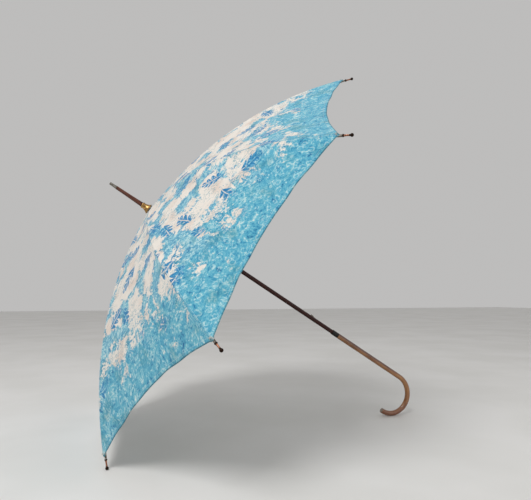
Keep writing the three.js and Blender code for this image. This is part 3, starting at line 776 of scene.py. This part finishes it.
def cloth_point(sign, distance, rest, j, k):
    """One point of the cloth over rib k: its place, its thickness and its two UV places."""
    radius = cloth_rows(0)[j]
    width = radius * sin(RIB_STEP / 2)
    near = min(distance, width * 0.5 * distance / SEAM_STEPS[-1])
    from_seam = near + (width - near) * rest
    share = 0.5 * from_seam / width
    bow = 4 * share * (1 - share)
    rows = cloth_rows(bow)
    radius = rows[j]
    from_hem = rows[-1] - radius
    seamed = 1 - smoothstep(from_seam, SEAM_HALF - 0.0006, SEAM_HALF + 0.0006)
    grooved = 1 - smoothstep(from_seam, 0.0001, 0.0009)
    hemmed = 1 - smoothstep(from_hem, HEM_WIDTH - 0.0005, HEM_WIDTH + 0.0005)
    past_notch = smoothstep(radius, FLANGE_RADIUS + 0.001, FLANGE_RADIUS + 0.014)
    thickness = CLOTH_THICKNESS + SEAM_THICKNESS * seamed * past_notch + HEM_THICKNESS * hemmed
    x = radius * (1 - share * (1 - cos(RIB_STEP)))
    y = sign * share * radius * sin(RIB_STEP)
    z = dome_height(radius) - CLOTH_DIP * (radius / RIM_RADIUS) * bow
    gore = k if sign > 0 else k - 1
    z += wrinkle(radius, from_seam, share, gore % RIB_COUNT)
    z += SEAM_RISE * seamed - SEAM_GROOVE * grooved
    if j == len(rows) - 1:
        z -= HEM_ROLL
        thickness = max(2 * HEM_ROLL, thickness - 2 * HEM_ROLL)
    from_middle = abs(radius * sin(RIB_STEP / 2) - from_seam)
    gore_place = (from_middle, radius * RIB_SLANT)
    return (x, y, z), thickness, gore_place, (from_seam, from_hem * HEM_SLANT)


def panel_faces(columns, rows):
    """A panel's faces, and for each of them whether it is left of the seam."""
    layer = columns * rows
    faces, is_left = [], []

    def quad(face, left):
        faces.append(tuple(face))
        is_left.append(left)

    for i in range(columns - 1):
        left = i < columns // 2
        for j in range(rows - 1):
            a, b = i * rows + j, (i + 1) * rows + j
            quad((a, a + 1, b + 1, b), left)
            quad((layer + a, layer + b, layer + b + 1, layer + a + 1), left)
        a, b = i * rows, (i + 1) * rows
        quad((a, b, layer + b, layer + a), left)
        a, b = a + rows - 1, b + rows - 1
        quad((a, layer + a, layer + b, b), left)
    for j in range(rows - 1):
        quad((j, layer + j, layer + j + 1, j + 1), True)
        a = (columns - 1) * rows + j
        quad((a + 1, layer + a + 1, layer + a, a), False)
    return faces, is_left


def smoothstep(value, low, high):
    t = min(1.0, max(0.0, (value - low) / (high - low)))
    return t * t * (3 - 2 * t)


def add_canopy(k):
    """The cloth over rib k, from halfway to the last rib to halfway to the next one."""
    half = panel_columns()
    columns = [(-1, *c) for c in reversed(half[1:])] + [(1, *c) for c in half]
    rows = len(cloth_rows(0))
    drawn = [cloth_point(*column, j, k) for column in columns for j in range(rows)]
    top = [point for point, *_ in drawn]
    under = [(x, y, z - thickness) for (x, y, z), thickness, *_ in drawn]
    faces, is_left = panel_faces(len(columns), rows)
    mesh = bpy.data.meshes.new(f"canopy_panel_{k}")
    mesh.from_pydata(top + under, [], faces)

    corners = np.array([i for face in faces for i in face])
    at = corners % len(top)
    left = np.repeat(np.array(is_left), 4)
    gore = np.where(left, (k - 2) % RIB_COUNT, k - 1)
    u, v = np.array([gore_place for _, _, gore_place, _ in drawn])[at].T
    gore_uv = np.stack([np.where(left, u, -u) + GORE_OFFSET[0] * gore, v + GORE_OFFSET[1] * gore], 1)
    edge_uv = np.array([edge_place for _, _, _, edge_place in drawn])[at]
    ink = np.zeros((len(corners), 3))
    ink[:, 0] = np.array(GORE_INK)[gore]
    for name, uv in (("Gore", gore_uv), ("Edge", edge_uv)):
        mesh.uv_layers.new(name=name).data.foreach_set("uv", uv.astype(np.float32).ravel())
    ink_layer = mesh.attributes.new("ink", "FLOAT_VECTOR", "CORNER")
    ink_layer.data.foreach_set("vector", ink.astype(np.float32).ravel())

    is_inside = [min(face) >= len(top) for face in faces]
    mesh.materials.append(materials["canopy_cloth"])
    mesh.materials.append(materials["cloth_reverse"])
    mesh.polygons.foreach_set("material_index", np.array(is_inside, np.int32))
    shade(mesh, HEM_SHARP_ANGLE)
    place = spoke(k)
    mesh.transform(place)
    piece = add_object(f"canopy_panel_{k}", mesh)
    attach(piece, f"rib_assembly_{k}")
    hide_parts(f"canopy_{k}")

    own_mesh(piece)


for k in RIBS:
    add_canopy(k)

# ---- ribs, tips and stretchers ----

hinge = Vector((HINGE_RADIUS, 0, HINGE_HEIGHT))
joint = rib_point(JOINT_RADIUS)
arm = (joint - hinge).length
runner_height = 2 * joint.z - hinge.z
runner_eye = Vector((HINGE_RADIUS, 0, runner_height))


def mirrored(points):
    return [(-x, z) for x, z in reversed(points)]


def channel(width, height, wall):
    """The section of a channel that is open downwards, with rounded shoulders."""
    half, low, high = width / 2, -height / 2, height / 2
    bevel = CHANNEL_ROUND * 0.3
    outside = [(-half, low), (-half, high - CHANNEL_ROUND)]
    outside += [(-half + bevel, high - bevel), (-half + CHANNEL_ROUND, high)]
    inside = [(-half + wall, high - wall), (-half + wall, low)]
    return outside + mirrored(outside) + mirrored(inside) + inside


def link_outline(start, end, radius):
    """The outline of a flat link with round ends, in the XZ plane."""
    turn = atan2(end.z - start.z, end.x - start.x)
    first = arc(radius, turn + pi / 2, turn + 1.5 * pi, 10, (start.x, start.z))
    second = arc(radius, turn - pi / 2, turn + pi / 2, 10, (end.x, end.z))
    return first + second


def add_rib(k):
    """A channel under the cloth, and a flat blade with the eye that turns in the top notch."""
    path, outs = [], []
    for i in range(RIB_STEPS + 1):
        radius = RIB_START + (RIB_END - RIB_START) * i / RIB_STEPS
        tilt = slope(radius)
        path.append(rib_point(radius))
        outs.append(Vector((sin(tilt), 0, cos(tilt))))
    shape = Shape().swept(channel(RIB_WIDTH, RIB_WIDTH, RIB_WALL), path, outs)
    blade = link_outline(hinge, rib_point(RIB_START + BLADE_OVERLAP), EYE_RADIUS)
    shape.plate(blade, BLADE_THICKNESS / 2)
    build(f"sprung_rib_{k}", shape, spoke(k), f"rib_assembly_{k}", "steel", [f"rib_{k}"])


def add_tip(k):
    """A collar over the rib's end, a neck with a small ring, and a round bead."""
    outline = [(0, GAP), (0.0021, GAP), (0.0025, 0.0006), (0.0026, 0.0012), (0.0025, 0.0019)]
    outline += [(0.0021, 0.0024), (0.00172, 0.0029), (0.0015, 0.0044)]
    outline += [(TIP_NECK_RADIUS, 0.0070), (0.00142, 0.0098), (0.0016, 0.0111)]
    outline += [(0.00175, 0.0115), (0.0016, 0.0119)]
    start = asin(TIP_NECK_RADIUS / BEAD_RADIUS)
    for i in range(13):
        turn = start + (pi - start) * i / 12
        outline.append((BEAD_RADIUS * sin(turn), TIP_LENGTH - BEAD_RADIUS * cos(turn)))
    shape = Shape().turned(outline, 28)
    lean = Matrix.Rotation(pi / 2 + slope(RIB_END), 4, "Y")
    matrix = spoke(k) @ Matrix.Translation(rib_point(RIB_END)) @ lean
    build(f"rib_end_tip_{k}", shape, matrix, f"rib_assembly_{k}", "dark_brass", [f"rib_tip_{k}"])


def add_stretcher(k):
    """A fork over the rib, a channel, and a flat blade with the eye that turns in the runner."""

    def along(distance):
        return joint.lerp(runner_eye, distance / arm)

    cheek = RIB_WIDTH / 2 + FORK_GAP + FORK_CHEEK / 2
    shape = Shape()
    for sign in (-1, 1):
        fork = link_outline(joint, along(FORK_LENGTH), EYE_RADIUS)
        shape.plate(fork, FORK_CHEEK / 2, sign * cheek)
    bridge = link_outline(along(FORK_LENGTH), along(FORK_LENGTH + FORK_BRIDGE), FORK_BRIDGE_RADIUS)
    shape.plate(bridge, cheek + FORK_CHEEK / 2)
    direction = (runner_eye - joint).normalized()
    out = Vector((-direction.z, 0, direction.x))
    if out.z < 0:
        out.negate()
    length = arm - STRETCHER_BLADE + STRETCHER_OVERLAP - FORK_LENGTH
    path = [along(FORK_LENGTH + length * i / STRETCHER_STEPS) for i in range(STRETCHER_STEPS + 1)]
    section = channel(STRETCHER_WIDTH, STRETCHER_WIDTH, STRETCHER_WALL)
    shape.swept(section, path, [out] * len(path))
    blade = link_outline(along(arm - STRETCHER_BLADE), runner_eye, STRETCHER_EYE)
    shape.plate(blade, BLADE_THICKNESS / 2)
    name, body = f"stretcher_strut_{k}", f"stretcher_arm_{k}"
    build(name, shape, spoke(k), body, "steel", [f"stretcher_{k}"])


def add_rivet(k):
    """A rivet through the fork and the rib, with a domed head at both ends."""
    head = RIB_WIDTH / 2 + FORK_GAP + FORK_CHEEK + RIVET_HEAD_LIFT
    dome = []
    for t in np.linspace(0, pi / 2, 6):
        dome.append((RIVET_HEAD_RADIUS * cos(t), head + RIVET_HEAD_HEIGHT * sin(t)))
    dome[-1] = (0, dome[-1][1])
    upper = [(RIVET_RADIUS, head)] + dome
    shape = Shape().turned([(r, -z) for r, z in reversed(upper)] + upper, 20)
    matrix = spoke(k) @ Matrix.Translation(joint) @ Matrix.Rotation(pi / 2, 4, "X")
    build(f"domed_rivet_{k}", shape, matrix, f"rib_assembly_{k}", "steel", [f"rivet_{k}"])


def thread_loop(radius):
    """One turn of thread round a rib and through the cloth over it."""
    tilt = slope(radius)
    out = Vector((sin(tilt), 0, cos(tilt)))
    forward = Vector((cos(tilt), 0, -sin(tilt)))
    middle = rib_point(radius) + out * THREAD_LIFT
    sides = [2 * pi * j / THREAD_SIDES for j in range(THREAD_SIDES)]
    section = [(cos(t) * THREAD_RADIUS, sin(t) * THREAD_RADIUS) for t in sides]
    rings, grain = [], []
    for i in range(THREAD_STEPS):
        turn = 2 * pi * i / THREAD_STEPS
        outward = out * cos(turn) + Vector((0, sin(turn), 0))
        place = middle + out * (THREAD_HEIGHT * cos(turn))
        place += Vector((0, THREAD_WIDTH * sin(turn), 0))
        rings.append([place + outward * a + forward * b for a, b in section])
        grain.append([(a, b, turn * THREAD_HEIGHT) for a, b in section])
    return rings, grain


def add_threads(k):
    """Turns of thread that tie the cloth to rib k at its end and at two places along it."""
    shape = Shape()
    for tie, turns in THREAD_TIES:
        for n in range(turns):
            rings, grain = thread_loop(tie + n * THREAD_PITCH)
            shape.rings(rings, closed=True, grain=grain)
    piece = build(f"sewing_thread_{k}", shape, spoke(k), f"rib_assembly_{k}", "canopy_cloth")
    paint(piece.data, materials["thread"])


for k in RIBS:
    add_rib(k)
    add_tip(k)
    add_stretcher(k)
    add_rivet(k)
    add_threads(k)

# ---- stick, ferrule, cup and collar ----


def build_cut(name, shape, cutters, body, slot, replaced):
    piece = build(name, shape, Matrix(), body, slot, replaced)
    cut(piece, cutters)


def catch_slots():
    """Boxes that cut the slots for the two catches into the stick."""
    boxes = []
    for name in ("upper_catch", "lower_catch"):
        heights = [(TO_LOCAL @ v.co).z for v in frame["nodes"][name].data.vertices]
        low = (-CATCH_SLOT_REACH, -CATCH_SLOT_HALF, min(heights) - GAP)
        high = (2 * SHAFT_RADIUS, CATCH_SLOT_HALF, max(heights) + GAP)
        boxes.append(box_shape(low, high))
    return boxes


def add_shaft():
    """The stick, with the tapered ferrule at its upper end and a tenon for the ferrule's cap."""
    cap_start = FERRULE_END - FERRULE_CAP_LENGTH
    outline = [(0, SHAFT_END), (SHAFT_RADIUS, SHAFT_END)]
    outline += [(SHAFT_RADIUS, SHAFT_END + (TAPER_START - SHAFT_END) * i / 60) for i in range(1, 61)]
    for i in range(1, 15):
        t = i / 14
        radius = SHAFT_RADIUS + (FERRULE_RADIUS + GAP - SHAFT_RADIUS) * (t * (2 - t) * 0.4 + 0.6 * t)
        outline.append((radius, TAPER_START + (cap_start - TAPER_START) * t))
    tenon_end = cap_start + TENON_LENGTH
    outline += [(TENON_RADIUS, cap_start), (TENON_RADIUS - TENON_TAPER, tenon_end), (0, tenon_end)]
    build_cut("turned_stick", Shape().turned(outline, 48), catch_slots(), "stick", "dark_wood", ["shaft"])


def add_ferrule_cap():
    low = FERRULE_END - FERRULE_CAP_LENGTH + GAP
    floor = FERRULE_END - FERRULE_CAP_FLOOR
    radius = FERRULE_RADIUS
    bore = radius - FERRULE_CAP_WALL
    outline = [(bore, low), (radius + 0.0003, low), (radius + 0.00045, low + 0.0002)]
    outline += [(radius + 0.0005, low + 0.0008), (radius + 0.0004, low + 0.0014)]
    outline += [(radius, low + 0.0019), (radius - 0.0001, low + 0.003)]
    outline += [(radius - 0.0004, FERRULE_END - 0.0012), (radius - 0.0007, FERRULE_END - 0.0004)]
    outline += [(radius - 0.0012, FERRULE_END), (0, FERRULE_END)]
    outline += [(0, floor), (bore - 0.0002, floor), (bore, low)]
    build("ferrule_end_cap", Shape().turned(outline, 40), LOCAL, "stick", "steel", ["ferrule_cap"])


def add_cup():
    """A flared cup with a rolled rim at the cloth and a lip round its neck."""
    neck = CUP_RIM + CUP_NECK_HEIGHT
    top = CUP_RIM + CUP_HEIGHT
    rim = CUP_RIM_RADIUS - CUP_RIM_ROUND

    def flare(height, inset, base):
        spread = (rim - CUP_NECK_RADIUS) * (1 - height) ** CUP_FLARE
        return (CUP_NECK_RADIUS - inset + spread, base + (neck - base) * height)

    outline = [flare(0, CUP_WALL, CUP_RIM), (rim, CUP_RIM)]
    outline += [(CUP_RIM_RADIUS - 0.0001, CUP_RIM + 0.0001), (CUP_RIM_RADIUS, CUP_RIM + CUP_RIM_ROUND)]
    outline += [(CUP_RIM_RADIUS - 0.0001, CUP_RIM + 0.0007)]
    outline += [flare(i / 20, 0, CUP_RIM + CUP_WALL) for i in range(20)]
    lip = neck + CUP_LIP_MIDDLE
    for t in np.linspace(-1.4, 1.4, 9):
        outline.append((CUP_LIP_RADIUS + CUP_LIP_DEPTH * cos(t), lip + CUP_LIP_HALF * sin(t)))
    outline += [(0.0059, lip + 0.0012), (0.0058, top - 0.0002), (0.0056, top), (STICK_BORE, top)]
    outline += [(STICK_BORE, CUP_RIM + CUP_GRIP_START * CUP_NECK_HEIGHT)]
    outline += [flare(i / 10, CUP_WALL, CUP_RIM) for i in (5, 3, 2, 1, 0)]
    build("flared_crown_cup", Shape().turned(outline, 64), LOCAL, "stick", "brass", ["crown_cup"])


def add_collar():
    low, top = SHAFT_END, SHAFT_END + COLLAR_LENGTH
    outer = COLLAR_RADIUS
    sunk = outer - COLLAR_LINE
    outline = [(STICK_BORE, low), (outer - 0.0002, low), (outer, low + 0.0003), (outer, low + 0.0012)]
    outline += [(sunk, low + 0.0014), (sunk, top - 0.0018), (outer, top - 0.0016)]
    outline += [(outer, top - 0.0006), (outer - 0.0003, top - 0.0002), (outer - 0.0006, top)]
    outline += [(STICK_BORE, top), (STICK_BORE, low)]
    shape = Shape().turned(outline, 48)
    build("lacquered_collar", shape, LOCAL, "stick", "black_lacquer", ["handle_collar"])


def crook_path():
    """The middle of the cane: straight, half a circle, and a short straight end."""
    start = SHAFT_END - GAP
    path = [Vector((0, 0, start + (CROOK_START - start) * i / 40)) for i in range(40)]
    for i in range(49):
        turn = pi * i / 48
        x = CROOK_RADIUS * (cos(turn) - 1)
        path.append(Vector((x, 0, CROOK_START - CROOK_RADIUS * sin(turn))))
    bend_end = path[-1]
    return path + [bend_end + Vector((0, 0, CROOK_TAIL * t)) for t in (0.4, 0.7, 0.86, 0.95, 1.0)]


def add_handle():
    """A cane that is bent into a crook, a little uneven, with a rounded end."""
    path = crook_path()
    lengths = [0.0]
    for a, b in zip(path, path[1:]):
        lengths.append(lengths[-1] + (b - a).length)
    section = [(cos(t), sin(t)) for t in np.linspace(0, 2 * pi, 33)[:-1]]
    rings, grain = [], []
    for i, (point, length) in enumerate(zip(path, lengths)):
        forward = (path[min(len(path) - 1, i + 1)] - path[max(0, i - 1)]).normalized()
        out = Vector((-forward.z, 0, forward.x))
        uneven = 1 + sum(a * sin(length * rate + phase) for a, rate, phase in CANE_WAVES)
        to_end = min(1.0, (lengths[-1] - length) / CANE_END_ROUND)
        rounded = sqrt(max(0.0, 1 - (1 - to_end) ** 2))
        end = CANE_END_SHARE + (1 - CANE_END_SHARE) * rounded
        head = min(1.0, CANE_HEAD_SHARE + length * CANE_HEAD_GROWTH)
        radius = HANDLE_RADIUS * min(1.0, CANE_FULLNESS * uneven) * end * head
        rings.append([point + out * (a * radius) + Vector((0, b * radius, 0)) for a, b in section])
        grain.append([(a * radius, b * radius, length) for a, b in section])
    shape = Shape().rings(rings, grain=grain)
    build("cane_crook_handle", shape, LOCAL, "stick", "cane", ["handle"])


def flange_slots(inner, low, high):
    """Boxes that cut one slot for each rib into a flange."""
    cutters = []
    for place in hinges:
        spot = TO_LOCAL @ place
        corner_low = (inner, -SLOT_WIDTH / 2, low)
        corner_high = (FLANGE_RADIUS + 0.002, SLOT_WIDTH / 2, high)
        cutters.append(box_shape(corner_low, corner_high, atan2(spot.y, spot.x)))
    return cutters


def add_notch():
    low, high = HINGE_HEIGHT - NOTCH_BELOW, HINGE_HEIGHT + NOTCH_ABOVE
    core = HINGE_RADIUS - EYE_RADIUS - GAP
    boss, top = HINGE_HEIGHT - NOTCH_BOSS, high + NOTCH_CAP
    outline = [(STICK_BORE, boss), (core - 0.0004, boss), (core, boss + 0.0004), (core, low)]
    outline += [(FLANGE_RADIUS - 0.0005, low), (FLANGE_RADIUS, low + 0.0005)]
    outline += [(FLANGE_RADIUS, top - 0.0005), (FLANGE_RADIUS - 0.0005, top)]
    outline += [(STICK_BORE, top), (STICK_BORE, boss)]
    shape = Shape().turned(outline, 64)
    slots = flange_slots(core, low - 0.001, high)
    build_cut("slotted_top_notch", shape, slots, "stick", "brass", ["top_notch"])


def add_runner():
    low, high = runner_height - FLANGE_BELOW, runner_height + FLANGE_ABOVE
    bottom, top = runner_height - RUNNER_LENGTH, runner_height + RUNNER_TOP
    bore, radius = RUNNER_BORE, RUNNER_RADIUS
    outline = [(bore, bottom), (radius, bottom), (radius + 0.0002, bottom + 0.0003)]
    outline += [(radius + 0.0002, bottom + 0.0017), (radius, bottom + 0.002)]
    outline += [(radius - 0.0001, bottom + 0.004), (radius - 0.0001, low - 0.002)]
    outline += [(radius + 0.0004, low - 0.0006), (radius + 0.0012, low)]
    outline += [(FLANGE_RADIUS - 0.0004, low), (FLANGE_RADIUS, low + 0.0004)]
    outline += [(FLANGE_RADIUS, high - 0.0004), (FLANGE_RADIUS - 0.0004, high)]
    outline += [(radius, high), (radius, top - 0.0004), (radius - 0.0004, top)]
    outline += [(bore, top), (bore, bottom)]
    shape = Shape().turned(outline, 64)
    inner, outer = WINDOW_REACH
    window_low = (inner, -WINDOW_HALF, runner_height - WINDOW_BOTTOM)
    window_high = (outer, WINDOW_HALF, runner_height - WINDOW_TOP)
    cutters = flange_slots(RUNNER_RADIUS, low - 0.001, high + 0.001)
    cutters.append(box_shape(window_low, window_high))
    build_cut("slotted_runner", shape, cutters, "runner", "brass", ["runner"])


add_shaft()
add_ferrule_cap()
add_cup()
add_collar()
add_handle()
add_notch()
add_runner()

# ---- CAD pieces that stay ----

for name, slot in (
    ("crown_washer", "felt"),
    ("notch_wire", "steel_object"),
    ("notch_pin", "steel_object"),
    ("upper_catch", "steel_object"),
    ("lower_catch", "steel_object"),
):
    node = frame["nodes"][name]
    paint(node.data, materials[slot])
    node.data.polygons.foreach_set("material_index", np.zeros(len(node.data.polygons), np.int32))

# ---- stage, light and camera ----


FLOOR_HALF = 9.0
WORLD_STRENGTH = 0.66
LIGHT_TARGET = (-0.1, 0, 0.35)
CAMERA_LENS = 33.09
CAMERA_PLACE = (-0.3492, -1.0763, 0.2928)
CAMERA_HEADING = radians(17.48)
CAMERA_PITCH = radians(5.32)


def add_floor():
    g = Graph("pale_floor", 0.55)
    place = g.add("ShaderNodeTexCoord").outputs["Object"]
    colour = g.mix(g.smooth(g.noise(place, 3, 3), 0.3, 0.7), srgb(218, 217, 214), srgb(226, 225, 223))
    g.finish(colour)
    mesh = bpy.data.meshes.new("floor")
    corners = [(x * FLOOR_HALF, y * FLOOR_HALF, 0) for x, y in ((-1, -1), (1, -1), (1, 1), (-1, 1))]
    mesh.from_pydata(corners, [], [(0, 1, 2, 3)])
    mesh.materials.append(g.material)
    floor = add_object("floor", mesh)


def add_world():
    world = bpy.data.worlds.new("studio")
    world.use_nodes = True
    background = world.node_tree.nodes["Background"]
    background.inputs["Color"].default_value = srgb(228, 227, 226)
    background.inputs["Strength"].default_value = WORLD_STRENGTH
    bpy.context.scene.world = world


def add_light(name, place, size, power):
    light = bpy.data.lights.new(name, "AREA")
    light.size = size
    light.energy = power
    lamp = add_object(name, light)
    lamp.location = place
    lamp.rotation_euler = (Vector(LIGHT_TARGET) - Vector(place)).to_track_quat("-Z", "Y").to_euler()


def add_camera():
    data = bpy.data.cameras.new("camera")
    data.lens = CAMERA_LENS
    data.sensor_width = 36
    data.clip_start = 0.01
    camera = add_object("camera", data)
    camera.location = CAMERA_PLACE
    camera.rotation_euler = (pi / 2 + CAMERA_PITCH, 0, -CAMERA_HEADING)
    bpy.context.scene.camera = camera


add_floor()
add_world()
add_light("key", (-1.5, -1.5, 2.7), size=1.3, power=60)
add_light("fill", (1.6, -2.2, 1.2), size=2.5, power=10)
add_camera()
bpy.context.scene.view_settings.view_transform = "Standard"
